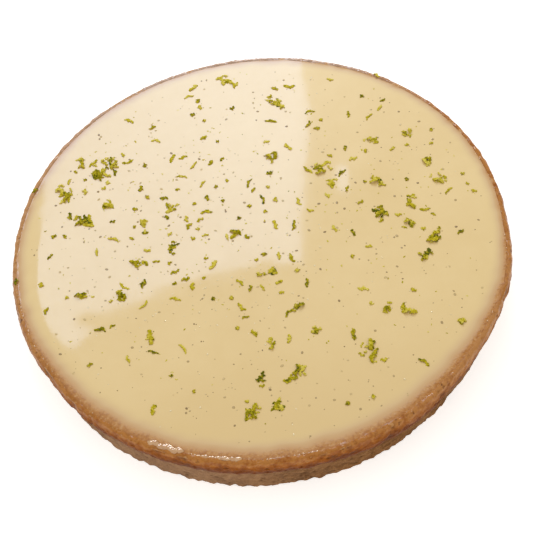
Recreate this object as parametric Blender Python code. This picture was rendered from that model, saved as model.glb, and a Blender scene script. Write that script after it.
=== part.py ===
"""Yuzu lemon tart: a round shortcrust case filled to the brim with glazed lemon cream, green zest on top.

Metres, +Z up. The tart stands on z = 0 with its middle on the z axis.
"""

import math

import bmesh
import bpy
import numpy as np

# The pastry case
OUTER_RADIUS = 0.1104       # the lip's section is drawn from this line in; it bulges to 0.1098
BASE_RADIUS = 0.1054        # where the side meets the underside
CASE_HEIGHT = 0.0275        # up to the crest of the lip
CREST_RADIUS = 0.1074       # the crest, just outside the cream
LIP_EDGE_HEIGHT = 0.0182    # lower edge of the glazed lip
LIP_TUCK = 0.0014           # the lip draws in by this towards its lower edge
LIP_FULLNESS = 0.6          # 1 is a quarter ellipse, smaller is squarer
CREASE_HEIGHT = 0.0172      # line where the glazed lip ends
CREASE_DEPTH = 0.0006
INNER_ROUNDING = 0.0005     # the crest rounds over by this to the inner wall
INNER_WALL_STEP = 0.0008    # the inner wall's top lies this far inside the crest
INNER_WALL_DROP = 0.0021    # and this far under it
WALL_FOOT_RADIUS = 0.1020   # inner corner of wall and floor
FLOOR_THICKNESS = 0.005
FOOT_CHAMFER = 0.0010
CASE_SEGMENTS = 150
SIDE_RINGS = 5
LIP_RINGS = 6

# Uneven baking, as the most that a ring strays
SIDE_UNEVEN = 0.00042
LIP_UNEVEN = 0.00030
CREST_UNEVEN = 0.00035
FOOT_CRUMBLE = 0.00060
ROUGH_SHARE = 0.6           # of each, how much is rough from point to point
SLOW_SHARE = 0.6            # and how much wanders slowly round the tart
CREST_ROUGH_SHARE = 0.3
CREST_SLOW_SHARE = 0.5
UNDERSIDE_CRUMBLE_SHARE = 0.5   # of the foot's crumbling, how much reaches the underside's edge
PEAK_TO_SPREAD = 1.6        # the peaks of a wandering line over its root mean square

# Where the outline leaves a true circle: middle, half width, how far out
BULGES = (
    (math.radians(32), math.radians(42), 0.0009),
    (math.radians(145), math.radians(40), 0.0007),
    (math.radians(-20), math.radians(15), 0.0010),
    (math.radians(-50), math.radians(22), -0.0008),
    (math.radians(-150), math.radians(10), -0.0007),
)
FOOT_SHIFT = 0.0012         # the underside sits this far towards the near left of the lip
FOOT_SHIFT_WAY = math.radians(-125)

# The stretch where the glazed lip stands proud over a split, on the near side
LEDGE_FROM = math.radians(-84)
LEDGE_TO = math.radians(-52)
LEDGE_REACH = 0.0007
LEDGE_UNDERCUT = 0.0010
LEDGE_FULLNESS = 1.6        # above 1 the ledge keeps its full reach over more of the stretch

# Chips in the lip: angle, half width, depth
CHIPS = (
    (math.radians(-141), math.radians(1.6), 0.0012),
    (math.radians(-27), math.radians(2.0), 0.0006),
    (math.radians(45), math.radians(1.5), 0.0004),
)
CHIP_DIP = 0.6              # at the crest a chip is this share as deep

# The lemon cream
CREAM_LEVEL = 0.0268        # the level top, without the zest
EDGE_RISE = 0.0005          # the set glaze climbs the pastry by this much
EDGE_WIDTH = 0.0060         # over this width
EDGE_RINGS = (0.0, 0.4, 1.0)    # shares of that width with a ring
GAP = 0.0003                # clear space between cream and pastry
FACET_SAG = 0.0002          # room for the flats between the cream's segments
CREAM_WALL_RADIUS = CREST_RADIUS - INNER_WALL_STEP - GAP - FACET_SAG
CREAM_WALL_DROP = 0.0008    # the cream's edge is upright over this height
CREAM_SEGMENTS = 96

# The zest
SHRED_THICKNESS = 0.00062
SHRED_SINK = 0.00022        # how deep a shred's ends sit in the glaze
LARGEST_SINGLES = 50        # single shreds that are large enough to be solid
SINGLE_SHREDS = 170
CLEAR_OF_EDGE = 0.1000      # loose shreds keep inside this radius
ZEST_SEED = 11
MILLIMETRE = 0.001

# Main clumps of shreds: x, y, length, width (millimetres) and heading (degrees)
CLUMPS = (
    (-66, 51, 17, 12, 60), (39, -66, 13, 6, 105), (-85, 40, 11, 8, 115), (-77, 23, 13, 6, 145),
    (76, -14, 10, 6, 60), (70, -23, 8, 5, 45), (55, 3, 11, 5, 100), (-2, -84, 13, 4, 100),
    (-13, -85, 10, 7, 125), (7, -71, 11, 5, 20), (-7, -71, 6, 5, 60), (34, 33, 9, 6, 25),
    (-67, 30, 9, 6, 30), (-4, 96, 13, 5, 130), (-37, 22, 8, 6, 70), (17, 78, 14, 4, 120),
    (69, 7, 10, 5, 80), (-50, 15, 8, 6, 60), (12, 43, 8, 6, 85), (-10, 3, 9, 5, 15),
    (84, 17, 8, 5, 140), (-62, -22, 11, 3, 85), (-53, -5, 8, 4, 5), (-38, 1, 9, 5, 60),
    (-78, -18, 8, 5, 150), (-51, -45, 7, 4, 70), (82, 27, 7, 5, 100), (67, -5, 7, 5, 70),
    (2, -20, 9, 4, 10), (58, 21, 9, 5, 140), (57, -49, 12, 3, 135), (49, -47, 6, 3, 80),
    (-1, -54, 8, 3, 95), (18, -52, 7, 4, 140), (12, -40, 6, 4, 60), (37, 24, 6, 5, 35),
    (59, 45, 7, 4, 160), (76, 46, 5, 5, 60), (-78, 57, 7, 5, 100), (77, -59, 5, 4, 10),
)
CLUMP_AREA_PER_SHRED = 20.0     # square millimetres
MOST_SHREDS_PER_CLUMP = 8
CLUMP_SPREAD = 0.62             # shreds start within this share of their clump's length and width
CLUMP_HEADINGS = 2.2            # radians over which they turn away from its heading
CLUMP_LENGTH_SHARE = (0.38, 0.30)   # shred length as a share of the clump's: least, and range
CLUMP_LENGTH_LIMITS = (2.8, 6.0)    # millimetres
CLUMP_WIDTH = (1.15, 0.85)          # least, and range, millimetres
CLUMP_ARCH = (-0.75, 1.9)           # so a third of them lie flat
LEAST_ARCH = 0.05

# Loose shreds, in millimetres: least, and range
SINGLE_LENGTH = (1.6, 4.2)
SHORT_BIAS = 1.7                # the higher, the more of them are short
SINGLE_WIDTH = (0.95, 0.75)
SINGLE_ARCH = (0.02, 0.16)
CURVE_RANGE = 1.8               # radians between the two ends' headings
TWIST_RANGE = 1.2

# Where loose shreds lie thickest: x, y, spread in x, spread in y (millimetres), weight
THICK_PATCHES = (
    (-25, 12, 42, 26, 1.0),
    (60, 15, 30, 24, 0.55),
    (0, -45, 45, 16, 0.25),
    (-10, 62, 50, 24, 0.30),
)
THIN_COVER = 0.16
FULL_COVER = 1.4                # a place with this much cover keeps every shred drawn for it
DRAWN_PLACES = 6000
LEAST_SPACING = 0.0042

# Single shreds on the lip: angle, share of the way from crest to lip edge, heading (degrees)
LIP_SHREDS = (
    (156, 0.02, 40),
    (-177, 0.02, 80),
    (51, 0.05, 120),
)
LIP_SHRED_SHAPE = (0.0034, 0.0013, 0.0005, 0.3, 0.3)    # length, width, arch, curve, twist
END_NARROWING = 0.45            # a shred's ends are this much narrower than its middle
CLUMP_STATIONS = 4
SINGLE_STATIONS = 3


def clear_scene():
    for old in list(bpy.data.objects):
        bpy.data.objects.remove(old, do_unlink=True)


def make_material(name, colour, roughness, metallic=0.0):
    mat = bpy.data.materials.new(name)
    mat.use_nodes = True
    shader = mat.node_tree.nodes["Principled BSDF"]
    shader.inputs["Base Color"].default_value = (*colour, 1.0)
    shader.inputs["Roughness"].default_value = roughness
    shader.inputs["Metallic"].default_value = metallic
    return mat


def add_object(name, bm, mat, collection=None):
    mesh = bpy.data.meshes.new(name)
    bmesh.ops.recalc_face_normals(bm, faces=bm.faces)
    bm.to_mesh(mesh)
    bm.free()
    mesh.materials.append(mat)
    obj = bpy.data.objects.new(name, mesh)
    (collection or bpy.context.scene.collection).objects.link(obj)
    return obj


def wander(angle, first_wave, last_wave, seed):
    """An uneven line round the tart, about -1 to 1: cosine waves with drawn phases, short ones weaker."""
    waves = np.arange(first_wave, last_wave + 1)
    phase = np.random.default_rng(seed).uniform(0.0, 2.0 * math.pi, waves.size)
    strength = waves ** -0.5
    total = np.cos(np.outer(angle, waves) + phase) @ strength
    return total / (PEAK_TO_SPREAD * math.sqrt(0.5 * (strength**2).sum()))


def hump(angle, middle, half_width):
    """1 at the middle angle, falling smoothly to 0 at half_width to either side."""
    away = np.abs((angle - middle + math.pi) % (2.0 * math.pi) - math.pi)
    return np.where(away < half_width, 0.5 + 0.5 * np.cos(math.pi * away / half_width), 0.0)


def ledge_share(angle):
    middle = 0.5 * (LEDGE_FROM + LEDGE_TO)
    return np.minimum(1.0, LEDGE_FULLNESS * hump(angle, middle, 0.5 * (LEDGE_TO - LEDGE_FROM)))


def chip_depth(angle):
    return sum(depth * hump(angle, middle, half) for middle, half, depth in CHIPS)


def roundness(angle):
    """How far the tart's outline strays from a true circle, the same for pastry and cream."""
    return sum(amount * hump(angle, middle, half) for middle, half, amount in BULGES)


def foot_shift(angle):
    return FOOT_SHIFT * np.cos(angle - FOOT_SHIFT_WAY)


def revolve(name, rings, mat):
    """Closed solid from rings of (radius, height) arrays, from the underside up and over to the top."""
    bm = bmesh.new()
    rows = []
    for radius, height in rings:
        angle = ring_angles(len(radius))
        rows.append([
            bm.verts.new((r * math.cos(a), r * math.sin(a), z))
            for r, z, a in zip(radius, height, angle, strict=True)
        ])
    for lower, upper in zip(rows[:-1], rows[1:], strict=True):
        count = len(lower)
        for i in range(count):
            j = (i + 1) % count
            bm.faces.new((lower[i], lower[j], upper[j], upper[i]))
    bm.faces.new(rows[0][::-1])
    bm.faces.new(rows[-1])
    return add_object(name, bm, mat)


def ring_angles(count):
    return np.arange(count) * (2.0 * math.pi / count)


def case_side_rings(angle, jitter):
    """The matte side, from the flat underside to the crease under the lip."""
    ones = np.ones_like(angle)
    out = roundness(angle)
    crumble = FOOT_CRUMBLE * jitter.uniform(-1.0, 1.0, angle.size)
    shift = foot_shift(angle)
    under_edge = BASE_RADIUS - FOOT_CHAMFER + out + shift + UNDERSIDE_CRUMBLE_SHARE * crumble
    rings = [(under_edge, 0.0 * ones)]
    crease_radius = OUTER_RADIUS - LIP_TUCK - CREASE_DEPTH
    for i in range(SIDE_RINGS + 1):
        share = i / SIDE_RINGS
        height = FOOT_CHAMFER + share * (CREASE_HEIGHT - FOOT_CHAMFER)
        radius = BASE_RADIUS + share * (crease_radius - BASE_RADIUS)
        rough = SIDE_UNEVEN * jitter.uniform(-1.0, 1.0, angle.size)
        slow = SIDE_UNEVEN * wander(angle, 6, 30, 20 + i)
        undercut = LEDGE_UNDERCUT * ledge_share(angle) * (i == SIDE_RINGS)
        fall = crumble if i == 0 else 0.0 * ones
        uneven = ROUGH_SHARE * rough + SLOW_SHARE * slow
        rings.append((radius + out + (1.0 - share) * shift + uneven + fall - undercut, height * ones))
    return rings


def lip_section(turn):
    """Radius and height of the lip's section: turn is 0 at its lower edge, a quarter turn at the crest."""
    full = max(0.0, math.cos(turn)) ** LIP_FULLNESS
    radius = CREST_RADIUS + (OUTER_RADIUS - CREST_RADIUS) * full - LIP_TUCK * (1.0 - math.sin(turn)) ** 2
    return radius, LIP_EDGE_HEIGHT + (CASE_HEIGHT - LIP_EDGE_HEIGHT) * math.sin(turn)


def case_lip_rings(angle, jitter):
    """The glazed lip: a full round from its lower edge up and in to the crest."""
    out = roundness(angle)
    rings = []
    for i in range(LIP_RINGS):
        turn = 0.5 * math.pi * i / (LIP_RINGS - 1)
        radius, height = lip_section(turn)
        outer_share = math.cos(turn)
        reach = LEDGE_REACH * ledge_share(angle) * outer_share
        jump = jitter.uniform(-1.0, 1.0, (2, angle.size))
        rough = LIP_UNEVEN * (ROUGH_SHARE * jump[0] + SLOW_SHARE * wander(angle, 6, 34, 40 + i))
        slow_lift = CREST_SLOW_SHARE * wander(angle, 3, 24, 60 + i)
        lift = CREST_UNEVEN * (CREST_ROUGH_SHARE * jump[1] + slow_lift)
        chip = chip_depth(angle)
        rings.append((
            radius + out + outer_share * (rough - chip) + reach,
            height + lift - (1.0 - outer_share) * CHIP_DIP * chip,
        ))
    return rings


def case_inner_rings(angle):
    """The inner wall, from just inside the crest down to the floor."""
    ones = np.ones_like(angle)
    out = roundness(angle)
    return [
        (CREST_RADIUS - INNER_ROUNDING + out, (CASE_HEIGHT - INNER_ROUNDING) * ones),
        (CREST_RADIUS - INNER_WALL_STEP + out, (CASE_HEIGHT - INNER_WALL_DROP) * ones),
        (WALL_FOOT_RADIUS + out, FLOOR_THICKNESS * ones),
    ]


def lip_shred_solids(mat, collection):
    """Single shreds of zest that landed on the pastry lip."""
    for number, (place, share, heading) in enumerate(LIP_SHREDS):
        angle = math.radians(place)
        turn = 0.5 * math.pi * (1.0 - share)
        radius, height = lip_section(turn)
        radius += float(roundness(np.array([angle]))[0])
        x, y = radius * math.cos(angle), radius * math.sin(angle)
        shred = (x, y, math.radians(heading), *LIP_SHRED_SHAPE)
        shred_solid(f"lip_shred_{number}", shred, height, SINGLE_STATIONS, mat, collection)


def build_pastry_case(crust, zest):
    angle = ring_angles(CASE_SEGMENTS)
    jitter = np.random.default_rng(5)
    rings = case_side_rings(angle, jitter) + case_lip_rings(angle, jitter) + case_inner_rings(angle)
    case = revolve("pastry_case", rings, crust)
    case.data.materials.append(zest)
    shreds = bpy.data.collections.new("lip_shreds")
    bpy.context.scene.collection.children.link(shreds)
    lip_shred_solids(zest, shreds)
    fuse(case, shreds)
    return case


def build_cream_core(cream):
    """The cream inside its case: wall, edge that climbs the pastry, and level top, one closed solid."""
    angle = ring_angles(CREAM_SEGMENTS)
    ones = np.ones_like(angle)
    out = roundness(angle)
    rings = [
        (WALL_FOOT_RADIUS - 2.0 * GAP + out, (FLOOR_THICKNESS + GAP) * ones),
        (CREAM_WALL_RADIUS + out, (CREAM_LEVEL + EDGE_RISE - CREAM_WALL_DROP) * ones),
    ]
    for share in EDGE_RINGS:
        radius = CREAM_WALL_RADIUS - share * EDGE_WIDTH
        rings.append((radius + out, cream_top(radius) * ones))
    return revolve("lemon_cream", rings, cream)


def cream_top(radius):
    """Height of the cream: level, then climbing as a parabola to the pastry."""
    share = max(0.0, 1.0 - (CREAM_WALL_RADIUS - radius) / EDGE_WIDTH)
    return CREAM_LEVEL + EDGE_RISE * share * share


def within(least_and_range, share):
    return least_and_range[0] + least_and_range[1] * share


def clump_shreds(draw):
    """Shreds of the main clumps: x, y, heading, length, width, arch, curve, twist for each."""
    rows = []
    for x, y, length, width, heading in CLUMPS:
        count = min(MOST_SHREDS_PER_CLUMP, max(2, round(length * width / CLUMP_AREA_PER_SHRED)))
        u = draw.random((count, 7))
        along = (u[:, 0] - 0.5) * CLUMP_SPREAD * length
        across = (u[:, 1] - 0.5) * CLUMP_SPREAD * width
        turn = math.radians(heading)
        rows.append(np.stack([
            (x + along * math.cos(turn) - across * math.sin(turn)) * MILLIMETRE,
            (y + along * math.sin(turn) + across * math.cos(turn)) * MILLIMETRE,
            turn + (u[:, 2] - 0.5) * CLUMP_HEADINGS,
            np.clip(within(CLUMP_LENGTH_SHARE, u[:, 3]) * length, *CLUMP_LENGTH_LIMITS) * MILLIMETRE,
            within(CLUMP_WIDTH, u[:, 4]) * MILLIMETRE,
            np.maximum(LEAST_ARCH, within(CLUMP_ARCH, u[:, 5])) * MILLIMETRE,
            (u[:, 6] - 0.5) * CURVE_RANGE,
            (u[:, 5] - 0.5) * TWIST_RANGE,
        ], axis=1))
    return np.concatenate(rows)


def cover(x, y):
    """How thickly loose shreds lie at a place, from 0 to about 1.5."""
    total = THIN_COVER * np.ones_like(x)
    for cx, cy, sx, sy, weight in THICK_PATCHES:
        total += weight * np.exp(-0.5 * (((x * 1000 - cx) / sx) ** 2 + ((y * 1000 - cy) / sy) ** 2))
    return total


def single_shreds(draw, taken):
    """Loose shreds, drawn over the top, kept where the cover is thick and apart; longest first."""
    tries = draw.random((DRAWN_PLACES, 3))
    radius = CLEAR_OF_EDGE * np.sqrt(tries[:, 0])
    angle = 2.0 * math.pi * tries[:, 1]
    x, y = radius * np.cos(angle), radius * np.sin(angle)
    places = [tuple(row[:2]) for row in taken]
    chosen = []
    kept = tries[:, 2] * FULL_COVER < cover(x, y)
    for px, py in zip(x[kept], y[kept], strict=True):
        if len(chosen) == SINGLE_SHREDS:
            break
        if all((px - qx) ** 2 + (py - qy) ** 2 > LEAST_SPACING**2 for qx, qy in places):
            places.append((px, py))
            chosen.append((px, py))
    xy = np.array(chosen)
    u = draw.random((len(xy), 5))
    rows = np.stack([
        xy[:, 0],
        xy[:, 1],
        2.0 * math.pi * u[:, 0],
        within(SINGLE_LENGTH, u[:, 1] ** SHORT_BIAS) * MILLIMETRE,
        within(SINGLE_WIDTH, u[:, 2]) * MILLIMETRE,
        within(SINGLE_ARCH, u[:, 3]) * MILLIMETRE,
        (u[:, 4] - 0.5) * CURVE_RANGE,
        (u[:, 3] - 0.5) * TWIST_RANGE,
    ], axis=1)
    return rows[np.argsort(-rows[:, 3], kind="stable")]


def shred_solid(name, shred, level, stations, mat, collection):
    """A strip of peel, narrower at its ends: curve is the turn of its heading from the middle to an end,
    arch is how high its middle stands and twist the roll from the middle to an end."""
    x, y, heading, length, width, arch, curve, twist = shred
    bm = bmesh.new()
    rows = []
    for i in range(stations):
        s = -1.0 + 2.0 * i / (stations - 1)
        turn = heading + curve * s
        along = 0.5 * length * s
        side = 0.25 * curve * length * (s * s - 0.33)
        px = x + along * math.cos(heading) - side * math.sin(heading)
        py = y + along * math.sin(heading) + side * math.cos(heading)
        pz = level + arch * (1.0 - s * s) + 0.5 * SHRED_THICKNESS - SHRED_SINK
        half_width = 0.5 * width * (1.0 - END_NARROWING * s * s)
        half_thick = 0.5 * SHRED_THICKNESS
        roll = twist * s
        across = (-math.sin(turn) * math.cos(roll), math.cos(turn) * math.cos(roll), math.sin(roll))
        upward = (math.sin(turn) * math.sin(roll), -math.cos(turn) * math.sin(roll), math.cos(roll))
        rows.append([
            bm.verts.new([
                p + a * half_width * across[k] + b * half_thick * upward[k]
                for k, p in enumerate((px, py, pz))
            ])
            for a, b in ((-1, -1), (1, -1), (1, 1), (-1, 1))
        ])
    for lower, upper in zip(rows[:-1], rows[1:], strict=True):
        for i in range(4):
            j = (i + 1) % 4
            bm.faces.new((lower[i], lower[j], upper[j], upper[i]))
    bm.faces.new(rows[0][::-1])
    bm.faces.new(rows[-1])
    bmesh.ops.triangulate(bm, faces=bm.faces)
    return add_object(name, bm, mat, collection)


def fuse(base, collection):
    """Join every solid of a collection to the base in one union, then drop the collection."""
    union = base.modifiers.new("fuse", "BOOLEAN")
    union.operation = "UNION"
    union.operand_type = "COLLECTION"
    union.solver = "EXACT"
    union.collection = collection
    with bpy.context.temp_override(object=base, active_object=base, selected_objects=[base]):
        bpy.ops.object.modifier_apply(modifier=union.name)
    for obj in list(collection.objects):
        bpy.data.objects.remove(obj, do_unlink=True)
    bpy.data.collections.remove(collection)
    keep_main_body(base.data)


def keep_main_body(mesh):
    """Fill hollows that crossing shreds seal and drop loose scraps: only the largest skin stays."""
    bm = bmesh.new()
    bm.from_mesh(mesh)
    left = set(bm.verts)
    bodies = []
    while left:
        body, edge = set(), [next(iter(left))]
        while edge:
            vert = edge.pop()
            if vert not in body:
                body.add(vert)
                edge.extend(e.other_vert(vert) for e in vert.link_edges)
        bodies.append(body)
        left -= body
    bodies.sort(key=len)
    for body in bodies[:-1]:
        bmesh.ops.delete(bm, geom=list(body), context="VERTS")
    bm.to_mesh(mesh)
    bm.free()


def build_lemon_cream(cream, zest):
    core = build_cream_core(cream)
    core.data.materials.append(zest)
    draw = np.random.default_rng(ZEST_SEED)
    clumps = clump_shreds(draw)
    singles = single_shreds(draw, clumps)[:LARGEST_SINGLES]
    shreds = bpy.data.collections.new("shreds")
    bpy.context.scene.collection.children.link(shreds)
    for kind, rows, stations in (("clump", clumps, CLUMP_STATIONS), ("single", singles, SINGLE_STATIONS)):
        for number, shred in enumerate(rows):
            level = cream_top(math.hypot(*shred[:2]))
            shred_solid(f"{kind}_{number}", shred, level, stations, zest, shreds)
    fuse(core, shreds)
    return core


def shade(obj):
    obj.data.shade_smooth()
    obj.data.set_sharp_from_angle(angle=math.radians(40))


def main():
    clear_scene()
    crust = make_material("shortcrust", (0.42, 0.22, 0.09), 0.6)
    cream = make_material("lemon_cream", (0.76, 0.62, 0.33), 0.15)
    zest = make_material("zest", (0.24, 0.26, 0.03), 0.5)
    case = build_pastry_case(crust, zest)
    filling = build_lemon_cream(cream, zest)
    for obj in (case, filling):
        shade(obj)
        print(obj.name, "triangles", sum(len(p.vertices) - 2 for p in obj.data.polygons))


main()
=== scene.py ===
import math

import bpy
import numpy as np
from mathutils import Matrix, Vector


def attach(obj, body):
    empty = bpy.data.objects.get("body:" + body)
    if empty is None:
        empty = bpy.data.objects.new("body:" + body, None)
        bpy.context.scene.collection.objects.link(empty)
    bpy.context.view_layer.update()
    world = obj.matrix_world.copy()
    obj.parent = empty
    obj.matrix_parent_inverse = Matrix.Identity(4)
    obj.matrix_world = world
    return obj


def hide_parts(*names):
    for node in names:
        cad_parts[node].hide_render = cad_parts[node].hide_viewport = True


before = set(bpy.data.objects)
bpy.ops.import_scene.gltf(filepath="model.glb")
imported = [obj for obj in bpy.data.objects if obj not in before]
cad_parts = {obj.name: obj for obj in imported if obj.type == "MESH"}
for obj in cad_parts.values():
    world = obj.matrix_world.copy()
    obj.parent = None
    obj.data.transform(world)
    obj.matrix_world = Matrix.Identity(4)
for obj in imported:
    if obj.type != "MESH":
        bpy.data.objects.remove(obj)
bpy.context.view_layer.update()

turnRound = 2.0 * math.pi
mm = 0.001
print("frame loaded:", ", ".join(sorted(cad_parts)))


# Small tools for shapes

def within(pair, share):
    # a pair is a least value and a range: the value that lies at this share of the range
    return pair[0] + pair[1] * share


def smooth(low, high, value):
    # 0 below low, 1 above high, an s-shaped step between
    t = np.clip((value - low) / (high - low), 0.0, 1.0)
    return t * t * (3.0 - 2.0 * t)


def waveNoise(points, shortest, longest, seed, waves=40):
    # soft unevenness in space: the sum of cosines with drawn directions and lengths, about -1 to 1
    draw = np.random.default_rng(seed)
    way = draw.normal(size=(waves, 3))
    way /= np.linalg.norm(way, axis=1, keepdims=True)
    length = longest * (shortest / longest) ** draw.random(waves)
    phase = draw.random(waves) * turnRound
    return np.cos(points @ (way * (turnRound / length)[:, None]).T + phase).sum(-1) / math.sqrt(waves) * 0.75


def hump(angle, middle, half):
    # 1 at the middle, falling as a cosine to 0 at half to either side, which are both in degrees
    away = np.abs((angle - math.radians(middle) + math.pi) % turnRound - math.pi) / math.radians(half)
    return np.where(away < 1.0, 0.5 + 0.5 * np.cos(math.pi * away), 0.0)


def humps(angle, rows):
    # the sum of several humps, each given by its middle, half width and height
    return sum(high * hump(angle, middle, half) for middle, half, high in rows)


def flatHump(angle, middle, half, steep):
    # a hump made steeper and cut off level at 1
    return np.minimum(1.0, steep * hump(angle, middle, half))


def makePiece(name, points, faces, marks=None):
    # points (n, 3) and faces (m, 3 or 4) go straight into one mesh; all faces have the same number of corners
    mesh = bpy.data.meshes.new(name)
    corners = faces.shape[1]
    mesh.vertices.add(len(points))
    mesh.vertices.foreach_set("co", points.astype(np.float32).ravel())
    mesh.loops.add(faces.size)
    mesh.loops.foreach_set("vertex_index", faces.astype(np.int32).ravel())
    mesh.polygons.add(len(faces))
    mesh.polygons.foreach_set("loop_start", np.arange(0, faces.size, corners, dtype=np.int32))
    mesh.polygons.foreach_set("loop_total", np.full(len(faces), corners, dtype=np.int32))
    for label, values in (marks or {}).items():
        layer = mesh.attributes.new(label, "FLOAT", "POINT")
        layer.data.foreach_set("value", values.astype(np.float32).ravel())
    mesh.update(calc_edges=True)
    mesh.validate()
    mesh.shade_smooth()
    piece = bpy.data.objects.new(name, mesh)
    bpy.context.scene.collection.objects.link(piece)
    return piece


def ringFaces(rows, around):
    # triangles between rows of rings, closed by one point below the first ring and one above the last
    i, j = np.meshgrid(np.arange(rows - 1), np.arange(around), indexing="ij")
    k = (j + 1) % around
    low, high = i * around, (i + 1) * around
    sides = np.stack([
        np.stack([low + j, low + k, high + k], -1),
        np.stack([low + j, high + k, high + j], -1),
    ]).reshape(-1, 3)
    ring = np.arange(around)
    after = (ring + 1) % around
    last = (rows - 1) * around
    lowPole = np.full(around, rows * around)
    closeLow = np.stack([lowPole, after, ring], -1)
    closeHigh = np.stack([lowPole + 1, last + ring, last + after], -1)
    return np.concatenate([sides, closeLow, closeHigh])


def closedSkins(name, skins, ends, marks):
    # one or many closed skins in one piece: skins (count, rows, around, 3), ends (count, 2, 3), and marks
    # with a value for each point of the skins; an end point takes the mark of the first or last of them
    count, rows, around = skins.shape[:3]
    each = rows * around + 2
    points = np.concatenate([skins.reshape(count, -1, 3), ends], 1).reshape(-1, 3)
    faces = (ringFaces(rows, around)[None] + (np.arange(count) * each)[:, None, None]).reshape(-1, 3)
    flat = {label: values.reshape(count, -1) for label, values in marks.items()}
    whole = {label: np.concatenate([v, v[:, :1], v[:, -1:]], 1) for label, v in flat.items()}
    return makePiece(name, points, faces, whole)


def turnedShell(name, grid, lowPole, highPole, marks):
    # grid (rows, around, 3) goes round the tart's middle; the poles are the heights of its two end points
    ends = np.array([[(0.0, 0.0, lowPole), (0.0, 0.0, highPole)]])
    return closedSkins(name, grid[None], ends, marks)


# Small tools for materials

class Wire:
    # one output of a material's node: arithmetic on it adds Math nodes

    def __init__(self, finish, socket):
        self.finish, self.socket = finish, socket

    def math(self, operation, *values):
        return self.finish.node("ShaderNodeMath", {"operation": operation}, dict(enumerate(values)))

    def __add__(self, other):
        return self.math("ADD", self, other)

    def __radd__(self, other):
        return self.math("ADD", other, self)

    def __sub__(self, other):
        return self.math("SUBTRACT", self, other)

    def __rsub__(self, other):
        return self.math("SUBTRACT", other, self)

    def __mul__(self, other):
        return self.math("MULTIPLY", self, other)

    def __rmul__(self, other):
        return self.math("MULTIPLY", other, self)

    def __truediv__(self, other):
        return self.math("DIVIDE", self, other)

    def __rtruediv__(self, other):
        return self.math("DIVIDE", other, self)

    def step(self, low, high):
        # smooth step of the value from low to high, 0 to 1
        return self.finish.node(
            "ShaderNodeMapRange", {"interpolation_type": "SMOOTHSTEP"},
            {"Value": self, "From Min": low, "From Max": high, "To Min": 0.0, "To Max": 1.0})


class Finish:
    # one material and the ways its nodes are made

    def __init__(self, name):
        self.material = bpy.data.materials.new(name)
        self.material.use_nodes = True
        self.tree = self.material.node_tree
        self.shader = self.tree.nodes["Principled BSDF"]

    def put(self, spot, value):
        if isinstance(value, Wire):
            self.tree.links.new(value.socket, spot)
        elif spot.type == "RGBA" and len(value) == 3:
            spot.default_value = (*value, 1.0)
        else:
            spot.default_value = value

    def node(self, kind, settings=None, sockets=None, output=0):
        made = self.tree.nodes.new(kind)
        for label, value in (settings or {}).items():
            if label == "stops":
                ramp = made.color_ramp.elements
                while len(ramp) < len(value):
                    ramp.new(0.5)
                for stop, (place, colour) in zip(ramp, value):
                    stop.position, stop.color = place, (*colour, 1.0)
            else:
                setattr(made, label, value)
        for label, value in (sockets or {}).items():
            self.put(made.inputs[label], value)
        return Wire(self, made.outputs[output])

    def set(self, **values):
        # sockets of the shader itself by their names without spaces: baseColor means Base Color
        names = {spot.name.replace(" ", "").lower(): spot for spot in self.shader.inputs}
        for label, value in values.items():
            self.put(names[label.lower()], value)

    def place(self):
        return self.node("ShaderNodeTexCoord", output=3)

    def noise(self, size, detail=3.0, roughness=0.5):
        # cloudy noise with features of about size, in metres, round 0.5
        return self.node(
            "ShaderNodeTexNoise", None,
            {"Vector": self.place(), "Scale": 1.0 / size, "Detail": detail, "Roughness": roughness})

    def mark(self, name):
        return self.node("ShaderNodeAttribute", {"attribute_name": name}, output=2)

    def mix(self, share, first, second):
        return self.node(
            "ShaderNodeMix", {"data_type": "RGBA"}, {0: share, 6: first, 7: second}, output=2)

    def ramp(self, value, stops):
        return self.node("ShaderNodeValToRGB", {"stops": stops}, {0: value})

    def bump(self, height, distance, strength=1.0, under=None):
        sockets = {"Height": height, "Distance": distance, "Strength": strength}
        if under is not None:
            sockets["Normal"] = under
        return self.node("ShaderNodeBump", None, sockets)


# The camera stands at the photograph's angle; the lens and roll are those of its outline
cameraSetup = {
    "distance": 0.495,
    "elevation": 53.61,
    "roll": -8.00,
    "lens": 74.80,
    "sensor": 36.0,
    "clip": (0.01, 20.0),
    "aim": (0.00301, -0.01929),
    "rimHeight": 0.0275,
}


def placeCamera():
    # above the near side, aimed near the rim's middle and rolled about its own axis
    setup = cameraSetup
    lift, roll = math.radians(setup["elevation"]), math.radians(setup["roll"])
    rim = Vector((0.0, 0.0, setup["rimHeight"]))
    stand = rim + Vector((0.0, -math.cos(lift), math.sin(lift))) * setup["distance"]
    ahead = (rim + Vector((*setup["aim"], 0.0)) - stand).normalized()
    right = ahead.cross(Vector((0.0, 0.0, 1.0))).normalized()
    up = right.cross(ahead)
    turnedRight = right * math.cos(roll) + up * math.sin(roll)
    turnedUp = up * math.cos(roll) - right * math.sin(roll)
    data = bpy.data.cameras.new("photoCamera")
    data.lens = setup["lens"]
    data.sensor_width = setup["sensor"]
    data.clip_start, data.clip_end = setup["clip"]
    camera = bpy.data.objects.new("photoCamera", data)
    axes = Matrix((turnedRight, turnedUp, -ahead)).transposed().to_4x4()
    camera.matrix_world = Matrix.Translation(stand) @ axes
    bpy.context.scene.collection.objects.link(camera)
    bpy.context.scene.camera = camera


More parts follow.
